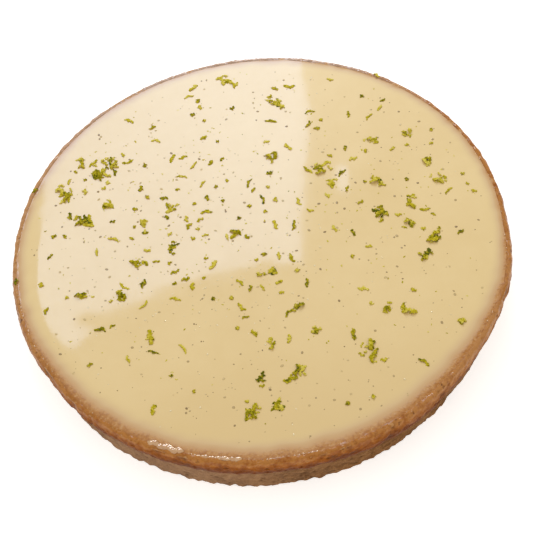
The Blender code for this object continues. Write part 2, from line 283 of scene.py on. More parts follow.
# The pastry case: sizes in metres, angles in degrees, from 0 at the right to -90 at the front
crust = {
    "outerRadius": 0.1104, "baseRadius": 0.1054, "height": 0.0275, "crestRadius": 0.1074,
    "lipEdgeHeight": 0.0182, "lipTuck": 0.0014, "lipFullness": 0.6,
    "creaseHeight": 0.0172, "creaseDepth": 0.0006, "groove": 0.0003,
    "innerRounding": 0.0005, "wallStep": 0.0008, "wallDrop": 0.0021,
    "wallFootRadius": 0.1020, "floor": 0.005, "footRadius": 0.0010, "footStart": 0.1,
    "underRings": (0.030, 0.070, 0.095, 0.1015, 0.1038), "floorRings": (0.070, 0.030),
    "columns": 960, "sideRows": 38, "lipRows": 34, "cornerRows": 6,
    "bulges": (      # where the outline leaves a circle: middle, half width, how far out
        (32.0, 42.0, 0.0009), (145.0, 40.0, 0.0007), (-20.0, 15.0, 0.0010), (-50.0, 22.0, -0.0008),
        (-150.0, 10.0, -0.0007)),
    "footShift": 0.0012, "footShiftWay": -125.0,      # the foot stands a little to one side under the lip
    "ledge": (-64.0, 20.0, 1.6),      # where the lip stands proud over a split: middle, half width, steepness
    "ledgeReach": 0.0006, "ledgeUndercut": 0.0013, "undercutBand": (0.0146, 0.0172),
    "chips": (      # gaps in the lip: middle, half width, depth
        (-141.0, 1.6, 0.0012), (-135.3, 1.0, 0.0007), (-27.0, 2.0, 0.0006), (45.0, 1.5, 0.0004)),
    "broadWaves": (0.008, 0.030, 31, 40),      # unevenness: shortest and longest wave, seed, how many
    "lumpWaves": (0.0024, 0.0075, 32, 60), "grainWaves": (0.0010, 0.0024, 33, 80),
    "pitWaves": (0.0018, 0.0045, 34, 60), "pitCut": 0.75, "pitGain": 2.2,
    "crumbleWaves": (0.0018, 0.0070, 35, 60), "crumbleStretch": (1.0, 1.0, 0.35),
    # how far broad waves, lumps, grain and pits stand out
    "sideRelief": (0.00026, 0.00018, 0.00012, -0.00050), "lipRelief": (0.00022, 0.00022, 0.00010, -0.00030),
    "footCrumble": 0.00038, "crumbleBand": (0.0042, 0.0004), "hollowSteep": 900.0,
    "paleSides": (      # lip paler by baking and by painted light: middle, half width, share
        (158.0, 80.0, 0.75), (95.0, 60.0, 0.60), (-38.0, 44.0, 0.35)),
    "filmed": (92.0, 75.0, 1.5), "filmedShare": 0.60,      # far lip, greyed by a film of glaze
    "dusty": (-138.0, 70.0, 1.5), "dustyShare": 0.28,      # side mixed towards a paler colour at the front left
    "sideTones": (
        (0.28, (0.076, 0.029, 0.008)), (0.46, (0.204, 0.090, 0.028)),
        (0.58, (0.296, 0.146, 0.054)), (0.74, (0.445, 0.262, 0.120))),
    # the lip's tones, darkest at its lower edge by darker baking and by painted shade under the curl
    "lipTones": (
        (0.0, (0.150, 0.038, 0.005)), (0.35, (0.180, 0.045, 0.004)),
        (0.75, (0.345, 0.105, 0.010)), (1.0, (0.490, 0.200, 0.040))),
    "paleBake": (0.565, 0.310, 0.130), "burnt": (0.095, 0.020, 0.002), "glazeFilm": (0.560, 0.420, 0.350),
    # painted shade: the colour in hollows darkens the sunk places of the relief
    "flour": (0.520, 0.345, 0.235), "creaseLine": (0.330, 0.140, 0.060), "inHollows": (0.050, 0.018, 0.006),
}


def roundness(angle):
    # how far the outline strays from a true circle
    return humps(angle, crust["bulges"])


def lipSection(turn):
    # radius and height of the lip: turn is 0 at its lower edge and a quarter turn at the crest
    c = crust
    full = np.maximum(0.0, np.cos(turn)) ** c["lipFullness"]
    tuck = c["lipTuck"] * (1.0 - np.sin(turn)) ** 2
    radius = c["crestRadius"] + (c["outerRadius"] - c["crestRadius"]) * full - tuck
    return radius, c["lipEdgeHeight"] + (c["height"] - c["lipEdgeHeight"]) * np.sin(turn)


def crustProfile():
    # the section, from the middle of the underside out, up the side, over the lip and down inside; each row
    # also has the angle that relief leans up by, and the shares of side and lip in it
    c = crust
    creaseRadius = c["outerRadius"] - c["lipTuck"] - c["creaseDepth"]
    under = np.array(c["underRings"])
    turn = np.linspace(c["footStart"], 0.5 * math.pi, c["cornerRows"])
    footR = c["baseRadius"] - c["footRadius"] * (1.0 - np.sin(turn))
    footZ = c["footRadius"] * (1.0 - np.cos(turn))
    share = np.linspace(0.0, 1.0, c["sideRows"] + 1)[1:]
    sideZ = c["footRadius"] + share * (c["creaseHeight"] - c["footRadius"])
    sideR = c["baseRadius"] + share * (creaseRadius - c["baseRadius"])
    hollow = np.linspace(0.0, 1.0, c["cornerRows"])[1:-1]
    creaseZ = c["creaseHeight"] + hollow * (c["lipEdgeHeight"] - c["creaseHeight"])
    creaseR = creaseRadius - c["groove"] * np.sin(math.pi * hollow) + c["creaseDepth"] * hollow**2
    arc = 0.5 * math.pi * np.sin(np.linspace(0.0, 0.5 * math.pi, c["lipRows"]))
    lipR, lipZ = lipSection(arc)
    inR = c["crestRadius"] - np.array([c["innerRounding"], c["wallStep"], c["wallStep"]])
    inZ = c["height"] - np.array([c["innerRounding"], 0.5 * c["wallDrop"], c["wallDrop"]])
    floorR = np.array([c["wallFootRadius"], *c["floorRings"]])
    floorZ = np.full(len(floorR), c["floor"])
    radius = np.concatenate([under, footR, sideR, creaseR, lipR, inR, floorR])
    height = np.concatenate([0.0 * under, footZ, sideZ, creaseZ, lipZ, inZ, floorZ])
    counts = [len(under), len(footR), len(sideR), len(creaseR), len(lipR), len(inR) + len(floorR)]
    side = np.repeat([0.0, 1.0, 1.0, 0.6, 0.0, 0.0], counts)
    lip = np.repeat([0.0, 0.0, 0.0, 0.4, 1.0, 0.0], counts)
    lean = np.concatenate([np.zeros(sum(counts[:4])), arc, np.zeros(counts[5])])
    return radius, height, lean, side, lip


def crustShell():
    # the section carried round the middle; relief is added along each row's own outward direction
    c = crust
    radius, height, *rest = crustProfile()
    lean, side, lip = (values[:, None] for values in rest)
    angle = np.arange(c["columns"]) * (turnRound / c["columns"])
    r, a = np.meshgrid(radius, angle, indexing="ij")
    z = np.repeat(height[:, None], c["columns"], 1)
    flat = np.stack([r * np.cos(a), r * np.sin(a), z], -1)
    layers = [waveNoise(flat, *c[waves]) for waves in ("broadWaves", "lumpWaves", "grainWaves")]
    layers.append(np.maximum(0.0, waveNoise(flat, *c["pitWaves"]) - c["pitCut"]) * c["pitGain"])
    sideRelief = sum(most * layer for most, layer in zip(c["sideRelief"], layers))
    lipRelief = sum(most * layer for most, layer in zip(c["lipRelief"], layers))
    foot = smooth(*c["crumbleBand"], z) * side
    crumble = c["footCrumble"] * foot * waveNoise(flat * c["crumbleStretch"], *c["crumbleWaves"])
    ledge = flatHump(a, *c["ledge"])
    undercut = c["ledgeUndercut"] * ledge * smooth(*c["undercutBand"], z) * side
    push = side * sideRelief + lip * lipRelief + crumble
    # painted shade: the colour darkens where the relief sinks in and under the split ledge
    hollow = np.clip(0.5 - c["hollowSteep"] * (push - undercut), 0.0, 1.0) * np.maximum(side, lip)
    push = push + c["ledgeReach"] * ledge * np.cos(lean) * lip - undercut - humps(a, c["chips"]) * lip
    shift = c["footShift"] * np.cos(a - math.radians(c["footShiftWay"])) * smooth(c["creaseHeight"], 0.0, z)
    shift = shift * (z < c["creaseHeight"]) * np.maximum(side, z == 0.0)
    outR = r + roundness(a) + shift + push * np.cos(lean)
    outZ = np.maximum(0.0, z + push * np.sin(lean))
    grid = np.stack([outR * np.cos(a), outR * np.sin(a), outZ], -1)
    marks = {
        "hollow": hollow,
        # the lip paler partly by baking and partly by painted light where light and its reflection fall
        "pale": humps(a, c["paleSides"]),
        "dusty": c["dustyShare"] * flatHump(a, *c["dusty"]),
        "filmed": c["filmedShare"] * flatHump(a, *c["filmed"]),
    }
    return turnedShell("crustShell", grid, 0.0, c["floor"], marks)


def bakedCrust():
    # base colour = sandy brown side, mottled at three sizes and paler at the front left, then a thin
    # pinkish line at the crease, then the caramel lip, darkest at its lower edge by darker baking and painted
    # shade under the curl, palest at the crest and paler on some sides by baking and painted light, with
    # burnt spots and greyed behind by glaze; the hollows of the relief are darkened as painted shade; a wet
    # coat lies on the top of the lip alone
    c = crust
    finish = Finish("bakedCrust")
    level = finish.node("ShaderNodeSeparateXYZ", None, {0: finish.place()}, output=2)
    cloud = finish.noise(0.012, 3.0)
    mottle = finish.noise(0.0026, 4.0, 0.6)
    sand = finish.noise(0.0007, 3.0, 0.65)
    blotch = finish.noise(0.0042, 3.0, 0.6)
    line = level + (cloud - 0.5) * 0.0022 + (mottle - 0.5) * 0.0012      # height with a wandering edge
    sideColour = finish.ramp(mottle * 0.50 + sand * 0.34 + cloud * 0.30 - 0.07, c["sideTones"])
    # the side is mixed towards a paler colour at the front left
    paledFrontLeft = finish.mix(finish.mark("dusty"), sideColour, c["flour"])
    # height up the lip: its low end takes painted shade under the curl as well as darker baking
    lipToneAndShade = (line - 0.0180) / 0.0096 + (mottle - 0.5) * 0.90 + (blotch - 0.5) * 0.80
    lipColour = finish.ramp(lipToneAndShade, c["lipTones"])
    # partly painted light: the lip is paler where the light and its reflection fall, partly paler baking
    paleAndLitLip = finish.mix(finish.mark("pale") * lipToneAndShade.step(0.1, 0.8), lipColour, c["paleBake"])
    burnt = blotch.step(0.56, 0.66) * mottle.step(0.50, 0.64)
    spotted = finish.mix(burnt * 0.70, paleAndLitLip, c["burnt"])
    filmed = finish.mark("filmed")
    greyed = finish.mix(filmed * line.step(0.0225, 0.0262), spotted, c["glazeFilm"])
    lipShare = line.step(0.0168, 0.0180)
    colour = finish.mix(lipShare, paledFrontLeft, greyed)
    seam = line.step(0.0162, 0.0170) * (1.0 - line.step(0.0172, 0.0184)) * cloud.step(0.42, 0.60)
    lined = finish.mix(seam * 0.35, colour, c["creaseLine"])
    # painted shade in the hollows of the relief
    shade = finish.mix(finish.mark("hollow").step(0.55, 1.0) * 0.55, lined, c["inHollows"])
    rough = finish.bump(mottle, 0.0007, 0.7, under=finish.bump(sand, 0.00035, 0.8))
    wet = line.step(0.0245, 0.0272) * (filmed * 0.80 + 0.50)
    finish.set(baseColor=shade, roughness=0.80 - lipShare * 0.30, normal=rough)
    finish.set(coatWeight=wet, coatRoughness=0.12, specularIORLevel=0.04)
    return finish.material


# The lemon cream and the glaze on it: sizes in metres, angles in degrees
cream = {
    "level": 0.02698, "dish": 0.00020, "dishPower": 8.0, "edgeEnd": 0.1068,
    "ridge": (0.0985, 0.0070, 0.00018),      # a low ridge that the glaze set in: radius, half width, height
    "ridgeSide": (207.0, 66.0, 2.0),      # on the left: middle, half width, steepness
    "swell": 0.000030, "swellWaves": (0.030, 0.080, 51, 24),
    "ripple": 0.000006, "rippleWaves": (0.009, 0.018, 52, 40), "calm": (0.098, 0.105),
    "hills": (      # low rises that bend the reflection: x, y, spread, height
        (0.0505, 0.0295, 0.0092, 0.00032), (0.0497, 0.0165, 0.0095, 0.00031),
        (-0.078, -0.068, 0.034, 0.00066), (0.0300, 0.1030, 0.0110, 0.00009)),
    "lap": (0.0014, 0.0008),      # how far the glaze laps over the lip at the front, and how much more behind
    "lapSpread": 0.00050, "lapWaves": (0.0016, 0.008, 53, 40), "lapSink": 0.00015,
    "columns": 480, "innerRows": 56, "edgeRows": 26, "innerReach": 0.0975, "caseShare": (0.050, 0.100),
    "wallRadius": 0.1061, "wallDrop": 0.0012, "footRadius": 0.1014, "under": 0.0053,
    "edgeFar": (0.1056, 0.0040),      # where the pastry shows through the edge behind: middle, half width
    "edgeNear": (0.1019, 0.0056), "nearSide": (-93.0, 112.0, 1.4),      # and at the front
    "edgeUneven": 0.0005, "edgeWaves": (0.005, 0.022, 54, 40),
    "drySide": (-25.0, 70.0), "drySteep": 1.6, "dryBand": (0.1052, 0.1064),      # where the glaze dried dull
    "lapDry": 0.85, "lapBand": (0.1068, 0.1076),      # and how far its lap did all round
    "bodyTones": ((0.30, (0.800, 0.600, 0.268)), (0.70, (0.850, 0.655, 0.318))),
    # painted shade: the cream is darkened towards the front, where the light falls off
    "frontTone": (0.772, 0.572, 0.258), "frontWay": (0.10, -0.995, 0.0), "frontBand": (0.042, 0.114),
    "edgeTones": (
        (0.0, (0.800, 0.600, 0.285)), (0.20, (0.755, 0.562, 0.272)), (0.46, (0.700, 0.490, 0.248)),
        (0.62, (0.630, 0.395, 0.175)), (0.74, (0.555, 0.290, 0.090)), (0.86, (0.485, 0.212, 0.042)),
        (1.0, (0.420, 0.160, 0.020))),
    "darkCrumb": (0.330, 0.115, 0.014), "paleCrumb": (0.700, 0.440, 0.190),
}


def creamTop(x, y, radius):
    # height = level + a dish that climbs to the pastry + soft swells + a ridge on the left + a few low hills
    c = cream
    spots = np.stack([x, y, 0.0 * x], -1)
    swells = c["swell"] * waveNoise(spots, *c["swellWaves"])
    swells = swells + c["ripple"] * waveNoise(spots, *c["rippleWaves"])
    z = c["level"] + c["dish"] * (radius / c["edgeEnd"]) ** c["dishPower"]
    z = z + swells * (1.0 - smooth(*c["calm"], radius))
    ridgeRadius, ridgeWidth, ridgeHeight = c["ridge"]
    share = flatHump(np.arctan2(y, x), *c["ridgeSide"])
    z = z + share * ridgeHeight * np.exp(-(((radius - ridgeRadius) / ridgeWidth) ** 2))
    for dx, dy, size, high in c["hills"]:
        z = z + high * np.exp(-((x - dx) ** 2 + (y - dy) ** 2) / size**2)
    return z


def creamDisc():
    # rings from the foot up inside the case, out to where the glaze laps over the lip, then in to the middle
    c = cream
    inner = np.linspace(0.0, 1.0, c["innerRows"] + 1)[1:] * c["innerReach"]
    edge = np.linspace(c["innerReach"], c["edgeEnd"] + sum(c["lap"]), c["edgeRows"] + 1)[1:]
    radius = np.concatenate([[c["footRadius"], c["wallRadius"]], edge[::-1], inner[::-1]])
    angle = np.arange(c["columns"]) * (turnRound / c["columns"])
    r, a = np.meshgrid(radius, angle, indexing="ij")
    out = r + roundness(a) * smooth(*c["caseShare"], r)
    x, y = out * np.cos(a), out * np.sin(a)
    z = creamTop(x, y, r)
    # past the crest the film thins until it sinks into the lip
    wander = c["lapSpread"] * waveNoise(np.stack([x, y, 0.0 * x], -1), *c["lapWaves"])
    lap = within(c["lap"], 0.5 * (1.0 + np.sin(a)))
    full = np.clip((r - crust["crestRadius"]) / (crust["outerRadius"] - crust["crestRadius"]), 0.0, 1.0)
    fall = 1.0 - np.sqrt(1.0 - full ** (2.0 / crust["lipFullness"]))
    lipTop = crust["height"] - (crust["height"] - crust["lipEdgeHeight"]) * fall
    z = z + (lipTop - c["lapSink"] - z) * smooth(0.0, 1.0, (r - c["edgeEnd"] - wander) / lap)
    z[0], z[1] = c["under"], c["level"] - c["wallDrop"]
    grid = np.stack([x, y, z], -1)
    # the pastry shows through the thin edge: widest at the front, narrowest at the back
    near = flatHump(a, *c["nearSide"])
    middle, half = (far + (close - far) * near for far, close in zip(c["edgeFar"], c["edgeNear"]))
    uneven = c["edgeUneven"] * waveNoise(grid, *c["edgeWaves"])
    tone = np.clip((r + uneven - middle) / (2.0 * half) + 0.5, 0.0, 1.0)
    dry = c["drySteep"] * hump(a, *c["drySide"]) * smooth(*c["dryBand"], r)
    dry = np.clip(np.maximum(dry, c["lapDry"] * smooth(*c["lapBand"], r)), 0.0, 1.0)
    return turnedShell("creamDisc", grid, c["under"], float(z[-1].mean()), {"edgeTone": tone, "dry": dry})


def lemonGlaze():
    # base colour = pale lemon cream with faint broad clouds, darker towards the front as painted shade,
    # going through straw to caramel where it meets the pastry, pitted and flecked by the crumb under it
    c = cream
    finish = Finish("lemonGlaze")
    cloud = finish.noise(0.045, 2.0)
    haze = finish.noise(0.006, 2.0)
    body = finish.ramp(cloud * 0.7 + haze * 0.3, c["bodyTones"])
    toFront = finish.node(
        "ShaderNodeVectorMath", {"operation": "DOT_PRODUCT"}, {0: finish.place(), 1: c["frontWay"]}, output=1)
    # painted shade towards the front
    frontShaded = finish.mix(toFront.step(*c["frontBand"]), body, c["frontTone"])
    edgeTone = finish.mark("edgeTone")
    colour = finish.mix(edgeTone.step(0.0, 0.60), frontShaded, finish.ramp(edgeTone, c["edgeTones"]))
    crumb = finish.noise(0.0016, 3.0, 0.6)
    shows = edgeTone.step(0.60, 0.85)      # crumb of the pastry under the thin edge
    pitted = finish.mix(shows * crumb.step(0.48, 0.64) * 0.55, colour, c["darkCrumb"])
    flecked = finish.mix(shows * (1.0 - crumb.step(0.34, 0.46)) * 0.40, pitted, c["paleCrumb"])
    wet = 1.0 - finish.mark("dry") * 0.9
    finish.set(baseColor=flecked, roughness=0.35, coatWeight=wet, coatRoughness=0.055, specularIORLevel=0.3)
    finish.set(normal=finish.bump(crumb * shows, 0.0005, 0.8))
    return finish.material


# The zest: the same main clumps and the same drawn scatter as the solid part
zest = {
    "thickness": 0.00062, "sink": 0.00022, "seed": 11, "stations": 17, "around": 10,
    "clumps": (   # x, y, length, width (millimetres) and heading (degrees)
        (-66, 51, 17, 12, 60), (39, -66, 13, 6, 105), (-85, 40, 11, 8, 115), (-77, 23, 13, 6, 145),
        (76, -14, 10, 6, 60), (70, -23, 8, 5, 45), (55, 3, 11, 5, 100), (-2, -84, 13, 4, 100),
        (-13, -85, 10, 7, 125), (7, -71, 11, 5, 20), (-7, -71, 6, 5, 60), (34, 33, 9, 6, 25),
        (-67, 30, 9, 6, 30), (-4, 96, 13, 5, 130), (-37, 22, 8, 6, 70), (17, 78, 14, 4, 120),
        (69, 7, 10, 5, 80), (-50, 15, 8, 6, 60), (12, 43, 8, 6, 85), (-10, 3, 9, 5, 15),
        (84, 17, 8, 5, 140), (-62, -22, 11, 3, 85), (-53, -5, 8, 4, 5), (-38, 1, 9, 5, 60),
        (-78, -18, 8, 5, 150), (-51, -45, 7, 4, 70), (82, 27, 7, 5, 100), (67, -5, 7, 5, 70),
        (2, -20, 9, 4, 10), (58, 21, 9, 5, 140), (57, -49, 12, 3, 135), (49, -47, 6, 3, 80),
        (-1, -54, 8, 3, 95), (18, -52, 7, 4, 140), (12, -40, 6, 4, 60), (37, 24, 6, 5, 35),
        (59, 45, 7, 4, 160), (76, 46, 5, 5, 60), (-78, 57, 7, 5, 100), (77, -59, 5, 4, 10),
    ),
    "areaPerShred": 20.0, "mostPerClump": 8, "clumpSpread": 0.62, "clumpHeadings": 2.2,
    "clumpLength": (0.38, 0.30), "clumpLimits": (2.8, 6.0),      # a share of the clump's length; millimetres
    "clumpWidth": (1.15, 0.85), "clumpArch": (-0.75, 1.9), "leastArch": 0.05,      # least and range
    "singles": 170, "clearOfEdge": 0.1000, "spacing": 0.0042, "drawnPlaces": 6000,
    "singleLength": (1.6, 4.2), "shortBias": 1.7, "singleWidth": (0.95, 0.75), "singleArch": (0.02, 0.16),
    "curve": 1.8, "twist": 1.2,
    "thickPatches": (   # x, y, spread in x, spread in y (millimetres), weight
        (-25, 12, 42, 26, 1.0), (60, 15, 30, 24, 0.55), (0, -45, 45, 16, 0.25), (-10, 62, 50, 24, 0.30),
    ),
    "thinCover": 0.16, "fullCover": 1.4,      # a place with full cover keeps every shred drawn for it
    "lipShreds": ((156, 0.02, 40), (-177, 0.02, 80), (51, 0.05, 120)),      # angle, share of the lip, heading
    "lipShape": (0.0034, 0.0013, 0.0005, 0.3, 0.3),      # length, width, arch, curve, twist
    "crumbs": 240, "crumbReach": 0.101, "crumbCover": 1.6, "crumbSink": 0.00012,
    "crumbLength": (0.5, 1.0), "crumbWidth": (0.35, 0.35), "crumbArch": 0.02,
    "areaPerBit": 7.0, "fewestBits": 3, "bitSpread": 0.55, "bitHeadings": 4.0,
    "bitLength": (1.2, 1.6), "bitWidth": (0.70, 0.50), "bitArch": 0.55, "bitCurve": 3.0,
    "bitPaler": (0.45, 2.2),      # how much paler the outer bits are, and how soon
    "leftEdge": ((0.30, 6.0), (0.32, 14.0)),      # raggedness: how much, and how close its waves
    "rightEdge": ((0.30, 5.0), (0.32, 17.0)),
    "fuzz": 0.12, "fuzzWaves": (0.0004, 0.0012), "toneWaves": (0.0006, 0.002),
    "deepGreens": (   # the darkest clumps: x, y
        (76, -14), (55, 3), (-77, 23), (39, -66), (-38, 1), (-7, -71), (70, -23)),
    "deepReach": 3.5, "deepShare": 0.27, "restPaler": 0.04, "ownTone": 0.60, "edgePaler": 0.22,
    "peelTones": (
        (0.06, (0.085, 0.098, 0.001)), (0.26, (0.300, 0.262, 0.002)), (0.55, (0.580, 0.478, 0.014)),
        (1.0, (0.790, 0.680, 0.140))),
}


def fromClump(x, y, turn, along, across):
    # a place given along and across a clump, as x and y in metres
    px = x + along * math.cos(turn) - across * math.sin(turn)
    py = y + along * math.sin(turn) + across * math.cos(turn)
    return px * mm, py * mm


def clumpShreds(draw):
    # each clump gets shreds by its area, strewn along and across it; a row is x, y, heading, length, width,
    # arch, curve and twist
    rows = []
    for x, y, length, width, heading in zest["clumps"]:
        count = min(zest["mostPerClump"], max(2, round(length * width / zest["areaPerShred"])))
        u = draw.random((count, 7))
        along = (u[:, 0] - 0.5) * zest["clumpSpread"] * length
        across = (u[:, 1] - 0.5) * zest["clumpSpread"] * width
        turn = math.radians(heading)
        rows.append(np.stack([
            *fromClump(x, y, turn, along, across),
            turn + (u[:, 2] - 0.5) * zest["clumpHeadings"],
            np.clip(within(zest["clumpLength"], u[:, 3]) * length, *zest["clumpLimits"]) * mm,
            within(zest["clumpWidth"], u[:, 4]) * mm,
            np.maximum(zest["leastArch"], within(zest["clumpArch"], u[:, 5])) * mm,
            (u[:, 6] - 0.5) * zest["curve"],
            (u[:, 5] - 0.5) * zest["twist"],
        ], axis=1))
    return np.concatenate(rows)


def cover(x, y):
    # how thickly loose shreds lie at a place: a thin cover plus one soft hill for each patch
    total = zest["thinCover"] * np.ones_like(x)
    for cx, cy, sx, sy, weight in zest["thickPatches"]:
        total += weight * np.exp(-0.5 * (((x * 1000 - cx) / sx) ** 2 + ((y * 1000 - cy) / sy) ** 2))
    return total


def strewnPlaces(draw, reach, full):
    # places drawn evenly over the top, kept where the cover is thick
    tries = draw.random((zest["drawnPlaces"], 3))
    radius = reach * np.sqrt(tries[:, 0])
    angle = turnRound * tries[:, 1]
    x, y = radius * np.cos(angle), radius * np.sin(angle)
    keep = tries[:, 2] * full < cover(x, y)
    return x[keep], y[keep]


def singleShreds(draw, taken):
    # strewn clear of one another and of the clumps, longest first
    places = [tuple(row[:2]) for row in taken]
    chosen = []
    for px, py in zip(*strewnPlaces(draw, zest["clearOfEdge"], zest["fullCover"])):
        if len(chosen) == zest["singles"]:
            break
        if all((px - qx) ** 2 + (py - qy) ** 2 > zest["spacing"] ** 2 for qx, qy in places):
            places.append((px, py))
            chosen.append((px, py))
    x, y = np.array(chosen).T
    u = draw.random((len(x), 5))
    rows = np.stack([
        x,
        y,
        turnRound * u[:, 0],
        within(zest["singleLength"], u[:, 1] ** zest["shortBias"]) * mm,
        within(zest["singleWidth"], u[:, 2]) * mm,
        within(zest["singleArch"], u[:, 3]) * mm,
        (u[:, 4] - 0.5) * zest["curve"],
        (u[:, 3] - 0.5) * zest["twist"],
    ], axis=1)
    return rows[np.argsort(-rows[:, 3], kind="stable")]


def lipShreds():
    # the few that landed on the lip, each with its own height
    rows, levels = [], []
    for place, share, heading in zest["lipShreds"]:
        angle = math.radians(place)
        radius, height = lipSection(0.5 * math.pi * (1.0 - share))
        radius = float(radius + roundness(np.array([angle]))[0])
        levels.append(float(height))
        spot = (radius * math.cos(angle), radius * math.sin(angle))
        rows.append((*spot, math.radians(heading), *zest["lipShape"]))
    return np.array(rows), np.array(levels)


def zestCrumbs(draw):
    # the finest bits, strewn like the loose shreds
    x, y = strewnPlaces(draw, zest["crumbReach"], zest["crumbCover"])
    x, y = x[:zest["crumbs"]], y[:zest["crumbs"]]
    u = draw.random((len(x), 4))
    return np.stack([
        x,
        y,
        turnRound * u[:, 0],
        within(zest["crumbLength"], u[:, 1] ** 2) * mm,
        within(zest["crumbWidth"], u[:, 2]) * mm,
        zest["crumbArch"] * mm * u[:, 3],
        u[:, 3] - 0.5,
        0.0 * u[:, 3],
    ], axis=1)


def clumpBits(draw):
    # short curled bits that fill each clump, thickest in its middle; the outer ones are paler
    rows, pale = [], []
    for x, y, length, width, heading in zest["clumps"]:
        count = max(zest["fewestBits"], round(length * width / zest["areaPerBit"]))
        u = draw.random((count, 8))
        along = (u[:, 0] + u[:, 1] - 1.0) * zest["bitSpread"] * length
        across = (u[:, 2] + u[:, 3] - 1.0) * zest["bitSpread"] * width
        turn = math.radians(heading)
        rows.append(np.stack([
            *fromClump(x, y, turn, along, across),
            turn + (u[:, 4] - 0.5) * zest["bitHeadings"],
            within(zest["bitLength"], u[:, 5]) * mm,
            within(zest["bitWidth"], u[:, 6]) * mm,
            zest["bitArch"] * u[:, 7] ** 2 * mm,
            (u[:, 6] - 0.5) * zest["bitCurve"],
            (u[:, 5] - 0.5) * zest["twist"],
        ], axis=1))
        most, steep = zest["bitPaler"]
        pale.append(most * np.clip(np.hypot(along / length, across / width) * steep, 0.0, 1.0))
    return np.concatenate(rows), np.concatenate(pale)


def deepGreen(x, y):
    # near 1 in the clumps whose peel is deepest green, 0 away from them
    away = [np.hypot(x / mm - cx, y / mm - cy) / zest["deepReach"] for cx, cy in zest["deepGreens"]]
    return np.exp(-0.5 * np.min(away, axis=0) ** 2)


def shredSkins(rows, levels, stations, around, draw, seed):
    # every shred is a rounded strip carried along a bent line: s runs from -1 to 1 along it and t round it;
    # the line curves by heading + curve * s, arches as 1 - s squared and twists; waves make its edges ragged
    count = len(rows)
    x, y, heading, length, width, arch, curve, twist = (rows[:, k, None] for k in range(8))
    s = np.linspace(-1.0, 1.0, stations)[None, :]
    turn = heading + curve * s
    along = 0.5 * length * s
    waves = draw.random((7, count, 1)) * turnRound
    side = 0.25 * curve * length * (s * s - 0.33) + 0.16 * width * np.sin(4.5 * s + waves[3])
    px = x + along * np.cos(heading) - side * np.sin(heading)
    py = y + along * np.sin(heading) + side * np.cos(heading)
    leftEdge, rightEdge = (
        1.0 + sum(much * np.sin(close * s + wave) for (much, close), wave in zip(zest[edge], drawn))
        for edge, drawn in (("leftEdge", waves[0:2]), ("rightEdge", waves[4:6])))
    taper = np.sqrt(np.clip(1.0 - np.abs(s) ** 7.0, 0.0, 1.0))
    half = 0.5 * width * (1.0 - 0.25 * s * s) * (0.35 + 0.65 * taper)
    thick = 0.5 * zest["thickness"] * np.minimum(0.8, 0.7 * width / mm) * (0.45 + 0.55 * taper)
    pz = levels[:, None] + arch * (1.0 - s * s) + 0.5 * zest["thickness"] - zest["sink"]
    pz = pz + 0.10 * mm * np.sin(6.0 * s + waves[2]) * np.minimum(1.0, arch / (0.3 * mm))
    cupping = (draw.random((count, 1, 1)) - 0.2) * 0.45
    t = np.arange(around)[None, None, :] * (turnRound / around) + math.pi / around
    u = np.sign(np.cos(t)) * np.abs(np.cos(t)) ** 0.75
    v = np.sign(np.sin(t)) * np.abs(np.sin(t)) ** 0.75
    a = half[..., None] * u * np.where(u > 0.0, rightEdge[..., None], leftEdge[..., None])
    b = thick[..., None] * v + cupping * half[..., None] * (u * u - 0.4)
    sinT, cosT = np.sin(turn)[..., None], np.cos(turn)[..., None]
    sinR, cosR = np.sin(twist * s)[..., None], np.cos(twist * s)[..., None]
    skins = np.stack([
        px[..., None] - a * sinT * cosR + b * sinT * sinR,
        py[..., None] + a * cosT * cosR - b * cosT * sinR,
        pz[..., None] + a * sinR + b * cosR,
    ], -1)
    fuzz = np.stack([waveNoise(skins, *zest["fuzzWaves"], seed + k, 24) for k in (1, 2, 3)], -1)
    skins = skins + zest["fuzz"] * mm * fuzz * np.minimum(1.0, width / mm)[..., None, None]
    return skins, np.abs(u) ** 3


def shredPiece(name, rows, levels, stations, around, seed, paler):
    # tone = each shred's own + waves + a paler edge, deeper in the darkest clumps: 0 is deep green, 1 yellow
    draw = np.random.default_rng(seed)
    skins, atEdge = shredSkins(rows, levels, stations, around, draw, seed)
    count = len(rows)
    own = draw.random(count)[:, None, None]
    tone = own * zest["ownTone"] + 0.30 * waveNoise(skins, *zest["toneWaves"], seed + 7, 24)
    tone = tone + zest["restPaler"] - zest["deepShare"] * deepGreen(rows[:, 0], rows[:, 1])[:, None, None]
    tone = tone + zest["edgePaler"] * atEdge + np.broadcast_to(paler, count)[:, None, None]
    ends = skins[:, [0, -1]].mean(2)
    return closedSkins(name, skins, ends, {"greenTone": np.clip(tone, 0.0, 1.0)})


def zestPeel():
    # base colour = deep green to yellow by each shred's own tone, with a fine grain
    finish = Finish("zestPeel")
    grain = finish.noise(0.0009, 3.0)
    colour = finish.ramp(finish.mark("greenTone") + (grain - 0.5) * 0.4, zest["peelTones"])
    finish.set(baseColor=colour, roughness=0.55, coatWeight=0.03, coatRoughness=0.2, specularIORLevel=0.06)
    finish.set(normal=finish.bump(grain, 0.0002, 0.5))
    return finish.material


